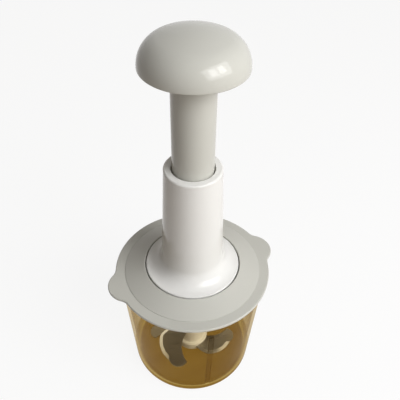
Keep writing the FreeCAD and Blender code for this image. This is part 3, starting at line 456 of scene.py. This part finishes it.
bpy.ops.mesh.primitive_cylinder_add(
    vertices=6,
    radius=SOCKET_FLATS / math.sqrt(3),
    depth=2 * SOCKET_DEPTH,
    location=(0, 0, HUB_TOP),
    rotation=(0, 0, SOCKET_TURN),
)
cut_away(hub, bpy.context.object)

BROAD_STAIN = 0.35
SPECK_STAIN = 0.25
HANDLED_ROUGHNESS = 0.04
GRAIN_STRENGTH = 0.15


def moulded(name, color, stain, roughness, grain, **settings):
    """Moulded plastic: broad soft shading in its colour, handling smears that dull the gloss,
    sparse specks, and a fine grain from the mould."""
    plastic = Finish(name, color, roughness, **settings)
    broad = plastic.noise(scale=16.0, detail=3.0)
    specks = plastic.noise(scale=900.0, detail=1.0).eased(0.76, 0.80)
    plastic.feed("Base Color", plastic.tinted(broad * BROAD_STAIN + specks * SPECK_STAIN, stain))
    handled = plastic.noise(scale=30.0).eased(0.35, 0.85)
    plastic.feed("Roughness", roughness + handled * HANDLED_ROUGHNESS)
    plastic.bumped(plastic.noise(scale=1500.0), grain, GRAIN_STRENGTH)
    return plastic


CREAM = (0.93, 0.91, 0.86)
CREAM_STAIN = (0.86, 0.82, 0.74)
cream = moulded("cream_hub_plastic", CREAM, CREAM_STAIN, roughness=0.30, grain=0.012 * MM)
finished(hub, "blade_unit", "hub_plastic", cream, "blade_hub")

# Lid: a grey moulding whose flat flange, with its two lift tabs, rests on the bowl's rim. The
# band inside the flange rises to the round well that holds the handle.

GREY = (0.60, 0.60, 0.555)
GREY_STAIN = (0.53, 0.52, 0.465)
grey = moulded(
    "warm_grey_plastic",
    GREY,
    GREY_STAIN,
    roughness=0.03,
    grain=0.004 * MM,
    Specular_IOR_Level=0.4,
)
clad(grey, "lid")

# Two soft rings: the seal round the lid's plug, which wipes the bowl's wall, and the grommet
# that wipes the drive shaft. Both are pale rubber with a dusty bloom.

RUBBER = (0.66, 0.65, 0.61)
RUBBER_BLOOM = (0.78, 0.77, 0.74)
BLOOM_SHARE = 0.4
RUBBER_ROUGHNESS = 0.5
BLOOM_ROUGHNESS = 0.2
RUBBER_GRAIN = 0.03 * MM
rubber = Finish("pale_rubber", RUBBER, RUBBER_ROUGHNESS)
bloom = rubber.noise(scale=70.0, detail=4.0)
rubber.feed("Base Color", rubber.tinted(bloom.eased(0.4, 0.7) * BLOOM_SHARE, RUBBER_BLOOM))
rubber.feed("Roughness", RUBBER_ROUGHNESS + bloom * BLOOM_ROUGHNESS)
rubber.bumped(rubber.noise(scale=900.0), RUBBER_GRAIN)
clad(rubber, "lid_seal", "shaft_seal")

# Handle column: a glossy white shell with a flared foot that sits in the lid's well. It is
# open in its roof for the plunger's tube, and hollow, with the drive inside.

COLUMN_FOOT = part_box("handle_column")[0].z
COLUMN_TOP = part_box("handle_column")[1].z
FOOT_RADIUS = 35.8 * MM
FOOT_SHELF = 109.4 * MM
FOOT_EDGE = 0.7 * MM
FLARE = 12.6 * MM
COLUMN_WALL = 2.8 * MM
COLUMN_TOP_RADIUS = 20.0 * MM
COLUMN_EDGE = 1.5 * MM
COLUMN_ROOF = 3.0 * MM
CAVITY_RADIUS = 17.2 * MM
ROOF_HOLE = 15.0 * MM
ROOF_HOLE_EDGE = 0.5 * MM
COLUMN_SIDES = 144
EDGE_STEPS = 5
ROOF_EDGE_STEPS = 8
FLARE_STEPS = 28
INNER_FLARE_STEPS = 20
flare_centre = (FOOT_RADIUS, FOOT_SHELF + FLARE)
outer_start = math.asin(FOOT_EDGE / FLARE)
inner_flare = FLARE + COLUMN_WALL
inner_start = math.asin(COLUMN_WALL / inner_flare)
side_and_roof = softened([
    (FOOT_RADIUS - FLARE, FOOT_SHELF + FLARE),
    (COLUMN_TOP_RADIUS, COLUMN_TOP, COLUMN_EDGE),
    (ROOF_HOLE, COLUMN_TOP, ROOF_HOLE_EDGE),
    (ROOF_HOLE, COLUMN_TOP - COLUMN_ROOF),
], ROOF_EDGE_STEPS)
column_section = [
    (FOOT_RADIUS - COLUMN_WALL, COLUMN_FOOT),
    (FOOT_RADIUS, COLUMN_FOOT),
    *arc((FOOT_RADIUS - FOOT_EDGE, FOOT_SHELF - FOOT_EDGE), FOOT_EDGE, 0, math.pi / 2, EDGE_STEPS),
    *arc(flare_centre, FLARE, -math.pi / 2 - outer_start, -math.pi, FLARE_STEPS),
    *side_and_roof[1:],
    (CAVITY_RADIUS, COLUMN_TOP - COLUMN_ROOF),
    (CAVITY_RADIUS, FOOT_SHELF + FLARE),
    *arc(flare_centre, inner_flare, -math.pi, -math.pi / 2 - inner_start, INNER_FLARE_STEPS),
]
column = turned("handle_column_shell", column_section, COLUMN_SIDES, capped=False)
WHITE = (0.86, 0.86, 0.845)
WHITE_STAIN = (0.79, 0.78, 0.75)
white = moulded(
    "gloss_white_plastic",
    WHITE,
    WHITE_STAIN,
    roughness=0.03,
    grain=0.003 * MM,
    Specular_IOR_Level=0.4,
)
finished(column, "lid_unit", "white_plastic", white, "handle_column")

# Base plate: a white moulding that closes the column's foot, held with the lid by three slotted
# steel screws. Steel washers take the thrust of the drive. Bushes of natural plastic guide the
# shaft in the plate, and the tube under the column's roof.

BEARING = (0.74, 0.72, 0.65)
BEARING_STAIN = (0.66, 0.62, 0.52)
bearing = moulded("natural_bearing_plastic", BEARING, BEARING_STAIN, roughness=0.42, grain=0.02 * MM)
clad(white, "base_plate")
clad(steel, "base_screws", "thrust_washers")
clad(bearing, "shaft_bush", "top_bush")

# Spiral drive: the shaft, with its clutch cup and hexagon, and the housing over it are of dark
# filled plastic. The pawl rotor, the nut in the tube and the tube's guide collar are bearing
# plastic, and the two-start spindle that the nut turns is steel.

FILLED = (0.10, 0.10, 0.10)
FILLED_STAIN = (0.17, 0.165, 0.155)
filled = moulded("dark_filled_plastic", FILLED, FILLED_STAIN, roughness=0.45, grain=0.03 * MM)
clad(filled, "drive_shaft", "clutch_housing")
clad(bearing, "pawl_rotor", "drive_nut", "guide_collar")
clad(steel, "drive_spindle")

# Return spring: one length of round spring wire, wound into ten coils round the spindle and
# darkened by its tempering. Its end coils are close. The real spring is squeezed as the knob
# goes down; this wire keeps its length and rides with the plunger.

WIRE_RADIUS = 0.7 * MM
WIRE_SIDES = 12
COIL_RADIUS = 9.4 * MM
COILS = 10
COIL_STEPS = 36
CLOSE_PITCH = 2.2 * MM
spring_low, spring_high = [corner.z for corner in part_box("return_spring")]
spring_length = spring_high - spring_low
open_pitch = (spring_length - 2 * WIRE_RADIUS - 2 * CLOSE_PITCH) / (COILS - 2)
bpy.ops.object.select_all(action="DESELECT")
bpy.ops.mesh.primitive_circle_add(
    vertices=WIRE_SIDES,
    radius=WIRE_RADIUS,
    location=(COIL_RADIUS, 0, spring_low + WIRE_RADIUS),
    rotation=(math.radians(90), 0, 0),
)
spring = bpy.context.object
spring.name = "return_spring_wire"
bpy.ops.object.transform_apply()
bpy.ops.object.mode_set(mode="EDIT")
bpy.ops.mesh.select_all(action="SELECT")
for step in range(COILS * COIL_STEPS):
    at_an_end = step < COIL_STEPS or step >= (COILS - 1) * COIL_STEPS
    rise = (CLOSE_PITCH if at_an_end else open_pitch) / COIL_STEPS
    bpy.ops.mesh.extrude_edges_move(TRANSFORM_OT_translate={"value": (0, 0, rise)})
    # Without a window this operator turns the other way, so a minus winds a right-handed coil
    bpy.ops.transform.rotate(value=-2 * math.pi / COIL_STEPS, orient_axis="Z", center_override=(0, 0, 0))
bpy.ops.mesh.select_all(action="SELECT")
bpy.ops.mesh.fill_holes(sides=0)
bpy.ops.mesh.normals_make_consistent(inside=False)
bpy.ops.object.mode_set(mode="OBJECT")
WIRE = (0.42, 0.40, 0.37)
WIRE_TEMPERED = (0.30, 0.26, 0.22)
TEMPERED_SHARE = 0.5
WIRE_ROUGHNESS = 0.24
TEMPERED_ROUGHNESS = 0.14
spring_wire = Finish("spring_wire", WIRE, WIRE_ROUGHNESS, Metallic=1.0)
tempering = spring_wire.noise(scale=45.0, detail=3.0)
tempered = tempering.eased(0.4, 0.7) * TEMPERED_SHARE
spring_wire.feed("Base Color", spring_wire.tinted(tempered, WIRE_TEMPERED))
spring_wire.feed("Roughness", WIRE_ROUGHNESS + tempering * TEMPERED_ROUGHNESS)
finished(spring, "plunger", "spring_steel", spring_wire, "return_spring")
slide = next(joint for joint in frame["joints"] if joint["name"] == "plunger_slide")
squeezed = spring_length - slide["range_m"][1]
squeezed / spring_length
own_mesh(spring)

# Plunger tube: a tube of the lid's grey plastic that slides in the column. Its upper end has a
# flange that the knob traps, and its lower end a spigot for the guide collar.

TUBE_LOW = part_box("plunger_tube")[0].z
TUBE_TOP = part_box("plunger_tube")[1].z
TUBE_RADIUS = 14.2 * MM
TUBE_BORE = 12.0 * MM
TUBE_EDGE = 0.3 * MM
SPIGOT_RADIUS = 13.2 * MM
SPIGOT_TOP = 194.3 * MM
NUT_TOP = 219.3 * MM
NUT_LEDGE = 1.0 * MM
TUBE_FLANGE_RADIUS = 17.5 * MM
TUBE_FLANGE = 2.5 * MM
TUBE_FLANGE_EDGE = 0.4 * MM
TUBE_SIDES = 112
tube_section = softened([
    (TUBE_BORE, TUBE_LOW),
    (SPIGOT_RADIUS, TUBE_LOW),
    (SPIGOT_RADIUS, SPIGOT_TOP),
    (TUBE_RADIUS, SPIGOT_TOP, TUBE_EDGE),
    (TUBE_RADIUS, TUBE_TOP - TUBE_FLANGE),
    (TUBE_FLANGE_RADIUS, TUBE_TOP - TUBE_FLANGE),
    (TUBE_FLANGE_RADIUS, TUBE_TOP, TUBE_FLANGE_EDGE),
    (TUBE_BORE - NUT_LEDGE, TUBE_TOP),
    (TUBE_BORE - NUT_LEDGE, NUT_TOP),
    (TUBE_BORE, NUT_TOP),
])
tube = turned("plunger_tube_moulding", tube_section, TUBE_SIDES, capped=False)
finished(tube, "plunger", "grey_plastic", grey, "plunger_tube")

# Palm knob: a domed shell of the same grey plastic, widest at its rim, that the palm presses
# on. A plate closes it underneath, and three steel screws hold the plate.

KNOB_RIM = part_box("knob_cap")[0].z
KNOB_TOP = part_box("knob_cap")[1].z
KNOB_RADIUS = 32.7 * MM
KNOB_LIP = 0.8 * MM
KNOB_SIDE = 1.2 * MM
KNOB_SHOULDER = 17.5 * MM
KNOB_WALL = 2.6 * MM
KNOB_SIDES = 144
DOME_STEPS = 28
INNER_DOME_STEPS = 14
shoulder_across = KNOB_RADIUS - KNOB_SHOULDER
shoulder_height = KNOB_RIM + KNOB_SIDE
drop = KNOB_TOP - shoulder_height

# The crown's radius is the one at which its arc runs on smoothly from the shoulder's
crown = (shoulder_across ** 2 - KNOB_SHOULDER ** 2 + drop ** 2) / (2 * (drop - KNOB_SHOULDER))
crown_height = KNOB_TOP - crown
meeting = math.atan2(shoulder_height - crown_height, shoulder_across)
outer_pole = math.acos(CENTRE_RADIUS / crown)
inner_pole = math.acos(CENTRE_RADIUS / (crown - KNOB_WALL))
shoulder_centre = (shoulder_across, shoulder_height)
crown_centre = (0, crown_height)
lip_centre = (KNOB_RADIUS - KNOB_LIP, KNOB_RIM + KNOB_LIP)
knob_section = [
    *arc(crown_centre, crown - KNOB_WALL, inner_pole, meeting, INNER_DOME_STEPS),
    *arc(shoulder_centre, KNOB_SHOULDER - KNOB_WALL, meeting, 0, INNER_DOME_STEPS)[1:],
    (KNOB_RADIUS - KNOB_WALL, KNOB_RIM),
    *arc(lip_centre, KNOB_LIP, -math.pi / 2, 0, EDGE_STEPS),
    *arc(shoulder_centre, KNOB_SHOULDER, 0, meeting, DOME_STEPS),
    *arc(crown_centre, crown, meeting, outer_pole, DOME_STEPS)[1:],
]
knob = turned("palm_knob", knob_section, KNOB_SIDES)
finished(knob, "plunger", "grey_plastic", grey, "knob_cap")
clad(grey, "knob_plate")
clad(steel, "knob_screws")

# Table: a wide pale surface that the chopper stands on. Seen directly or in a reflection it is
# nearly white, and it keeps the shadow; the light it throws back on the chopper is warm.

TABLE_SIZE = 40
TABLE_CLEARANCE = 0.1 * MM
TABLE_ROUGHNESS = 0.7
WHITENESS = 0.89
WARM_WOOD = (0.44, 0.37, 0.30)
PALE_TOP = (0.92, 0.92, 0.91)
WHITE_GLOW = {"Color": (1, 1, 1, 1), "Strength": 1.0}


def seen_by(finish):
    """1 for rays from the camera, or from a mirror or clear plastic, and 0 for other light."""
    rays = finish.node("ShaderNodeLightPath").socket.node
    kinds = ("Is Camera Ray", "Is Glossy Ray", "Is Transmission Ray")
    camera_ray, glossy_ray, clear_ray = [Signal(finish, rays.outputs[kind]) for kind in kinds]
    return camera_ray + glossy_ray + clear_ray


bpy.ops.object.select_all(action="DESELECT")
bpy.ops.mesh.primitive_plane_add(size=TABLE_SIZE, location=(0, 0, -TABLE_CLEARANCE))
table = bpy.context.object
table.name = "table"
wood = Finish("pale_table", WARM_WOOD, TABLE_ROUGHNESS)
seen = seen_by(wood)
wood.feed("Base Color", wood.tinted(seen, PALE_TOP))
glow = wood.node("ShaderNodeEmission", (), WHITE_GLOW)
wood.show(wood.node("ShaderNodeMixShader", (), {0: seen * WHITENESS, 1: wood.surface, 2: glow}))
table.data.materials.append(wood.material)

# Window light: two panes side by side, high on the right in front of the chopper, with a soft
# glow from the wall round them.

WINDOW_TURN = math.radians(-58)
WINDOW_RISE = math.radians(37)
PANE_WIDTH = 0.30
PANE_HEIGHT = 0.52
PANE_GAP = 0.09
PANE_POWER = 2.6
WINDOW_DISTANCE = 1.3
WALL_WIDTH = 0.75
WALL_HEIGHT = 0.55
WALL_DISTANCE = 0.8
WALL_POWER = 4.5
LIT_POINT = Vector((0, 0, 0.2))


def heading_to(turn, rise):
    """The direction at a turn about the upright axis and a rise above the level."""
    return Vector((
        math.cos(rise) * math.cos(turn),
        math.cos(rise) * math.sin(turn),
        math.sin(rise),
    ))


def lamp(name, width, height, distance, aside, power):
    """A flat lamp that faces the chopper from the window's side."""
    bpy.ops.object.light_add(type="AREA")
    light = bpy.context.object
    light.name = name
    light.data.shape = "RECTANGLE"
    light.data.size = width
    light.data.size_y = height
    light.data.energy = power
    to_window = heading_to(WINDOW_TURN, WINDOW_RISE)
    facing_in = (-to_window).to_track_quat("-Z", "Y").to_matrix().to_4x4()
    place = Matrix.Translation(LIT_POINT + to_window * distance)
    light.matrix_world = place @ facing_in @ Matrix.Translation((aside, 0, 0))


off_centre = (PANE_WIDTH + PANE_GAP) / 2
lamp("left_pane", PANE_WIDTH, PANE_HEIGHT, WINDOW_DISTANCE, -off_centre, PANE_POWER)
lamp("right_pane", PANE_WIDTH, PANE_HEIGHT, WINDOW_DISTANCE, off_centre, PANE_POWER)
lamp("wall_glow", WALL_WIDTH, WALL_HEIGHT, WALL_DISTANCE, 0, WALL_POWER)

# Room: a dim warm room, bright towards the window, darkest on the left and lit softly again
# from behind. To the camera, in a reflection and through clear plastic it is plain white.


class Room(Finish):
    """The room's light, whose nodes are added as a finish's are."""

    output_node = "World Output"

    def __init__(self, world):
        world.use_nodes = True
        self.tree = world.node_tree
        self.place = self.node("ShaderNodeTexCoord", output="Generated")

    def nearness(self, way):
        """How nearly light comes from a direction: 1 from there, -1 from opposite."""
        inputs = {0: self.place, 1: way}
        return self.node("ShaderNodeVectorMath", {"operation": "DOT_PRODUCT"}, inputs, "Value")


ROOM_RISE = math.radians(12)
ROOM_STRENGTH = 0.43
DARK_SIDE = (0.07, 0.048, 0.026)
BRIGHT_SIDE = (0.95, 0.93, 0.89)
BRIGHT_REACH = (-0.2, 0.95)
BACK_TURN = math.radians(75)
BACK_SIDE = (1.2, 1.1, 0.95)
BACK_REACH = (0.35, 0.95)
world = bpy.data.worlds.new("room")
bpy.context.scene.world = world
room = Room(world)
near_window = room.nearness(heading_to(WINDOW_TURN, ROOM_RISE)).eased(*BRIGHT_REACH)
near_back = room.nearness(heading_to(BACK_TURN, 0)).eased(*BACK_REACH)
from_front = room.tinted(near_window, BRIGHT_SIDE, over=(*DARK_SIDE, 1))
all_round = room.tinted(near_back, BACK_SIDE, over=from_front)
dim = room.node("ShaderNodeBackground", (), {"Color": all_round, "Strength": ROOM_STRENGTH})
pale = room.node("ShaderNodeBackground", (), WHITE_GLOW)
room.show(room.node("ShaderNodeMixShader", (), {0: seen_by(room), 1: dim, 2: pale}))

# Camera: held over the near edge of the table, looking down on the chopper, turned from the
# lid's tabs and rolled by a degree.

CAMERA_PLACE = Vector((-93.4, -244.3, 406.2)) * MM
CAMERA_HEADING = math.radians(-22.0)
CAMERA_PITCH = math.radians(41.79)
CAMERA_ROLL = math.radians(1.17)
NEAREST_SEEN = 10 * MM
FRAME_PIXELS = 400
FOCAL_PIXELS = 504.5
bpy.ops.object.camera_add()
camera = bpy.context.object
camera.name = "photograph_camera"
camera.data.lens = FOCAL_PIXELS / FRAME_PIXELS * camera.data.sensor_width
camera.data.clip_start = NEAREST_SEEN
heading = Matrix.Rotation(CAMERA_HEADING, 4, "Z")
tilt = Matrix.Rotation(math.radians(90) - CAMERA_PITCH, 4, "X")
roll = Matrix.Rotation(CAMERA_ROLL, 4, "Z")
camera.matrix_world = Matrix.Translation(CAMERA_PLACE) @ heading @ tilt @ roll
bpy.context.scene.camera = camera
bpy.context.scene.view_settings.view_transform = "Standard"
